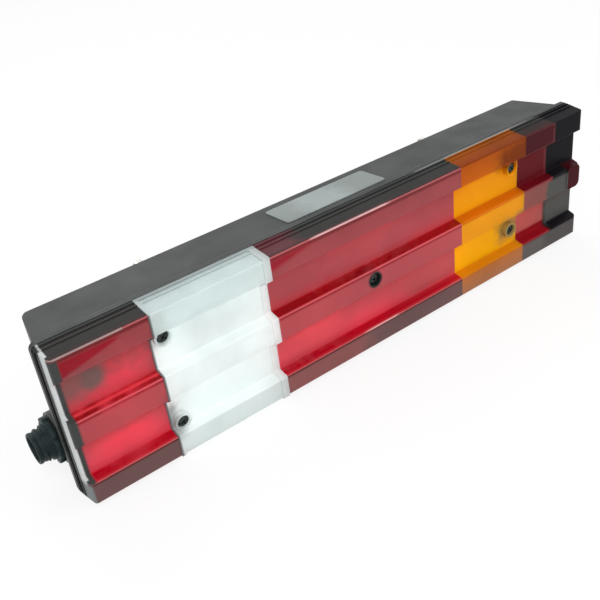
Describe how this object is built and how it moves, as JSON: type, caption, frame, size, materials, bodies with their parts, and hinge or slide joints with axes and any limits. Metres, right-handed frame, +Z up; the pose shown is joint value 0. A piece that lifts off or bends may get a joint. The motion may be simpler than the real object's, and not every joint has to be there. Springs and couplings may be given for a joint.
{
  "type": "tail light cluster",
  "caption": "Long rear lamp cluster of a truck: tail, reverse, stop, turn and side fields in a black tub with a number plate window and a round side connector.",
  "frame": {"origin": "centre of the flat back face of the tub", "axes": "+X along the lamp away from the connector, +Y out of the back face towards the vehicle, +Z up; the lens faces -Y"},
  "size_m": [0.5409, 0.0983, 0.13],
  "materials": {
    "tub_plastic": "satin moulded",
    "red_lens": "clear tinted gloss",
    "clear_lens": "clear gloss",
    "amber_lens": "clear tinted gloss",
    "seal_rubber": "matte",
    "reflector_white": "white gloss",
    "holder_steel": "zinc plated",
    "cap_brass": "nickel brass",
    "bulb_glass": "clear",
    "strip_brass": "stamped",
    "connector_plastic": "moulded",
    "pin_brass": "turned",
    "screw_steel": "blackened",
    "stud_steel": "zinc plated"
  },
  "bodies": {
    "root": {"housing": "tub_plastic", "lens_tail": "red_lens", "lens_reverse": "clear_lens", "lens_stop": "red_lens", "lens_turn": "amber_lens", "lens_marker": "red_lens", "lens_gasket": "seal_rubber", "plate_window": "clear_lens", "window_gasket": "seal_rubber", "reflector_tail": "reflector_white", "reflector_reverse": "reflector_white", "reflector_stop": "reflector_white", "reflector_turn": "reflector_white", "reflector_marker": "reflector_white", "tail_holder": "holder_steel", "reverse_holder": "holder_steel", "stop_holder": "holder_steel", "plate_holder": "holder_steel", "fog_holder": "holder_steel", "turn_holder": "holder_steel", "marker_holder": "holder_steel", "tail_bulb_cap": "cap_brass", "reverse_bulb_cap": "cap_brass", "stop_bulb_cap": "cap_brass", "plate_bulb_cap": "cap_brass", "fog_bulb_cap": "cap_brass", "turn_bulb_cap": "cap_brass", "marker_bulb_cap": "cap_brass", "tail_bulb_glass": "bulb_glass", "reverse_bulb_glass": "bulb_glass", "stop_bulb_glass": "bulb_glass", "plate_bulb_glass": "bulb_glass", "fog_bulb_glass": "bulb_glass", "turn_bulb_glass": "bulb_glass", "marker_bulb_glass": "bulb_glass", "tail_feed": "strip_brass", "reverse_feed": "strip_brass", "stop_feed": "strip_brass", "plate_feed": "strip_brass", "fog_feed": "strip_brass", "turn_feed": "strip_brass", "marker_feed": "strip_brass", "earth_strip": "strip_brass", "connector_body": "connector_plastic", "connector_pins": "pin_brass", "connector_seal": "seal_rubber", "connector_nut": "connector_plastic", "lens_screws": "screw_steel", "screw_washers": "seal_rubber", "mounting_studs": "stud_steel", "vent_plug": "seal_rubber"}
  },
  "joints": []
}
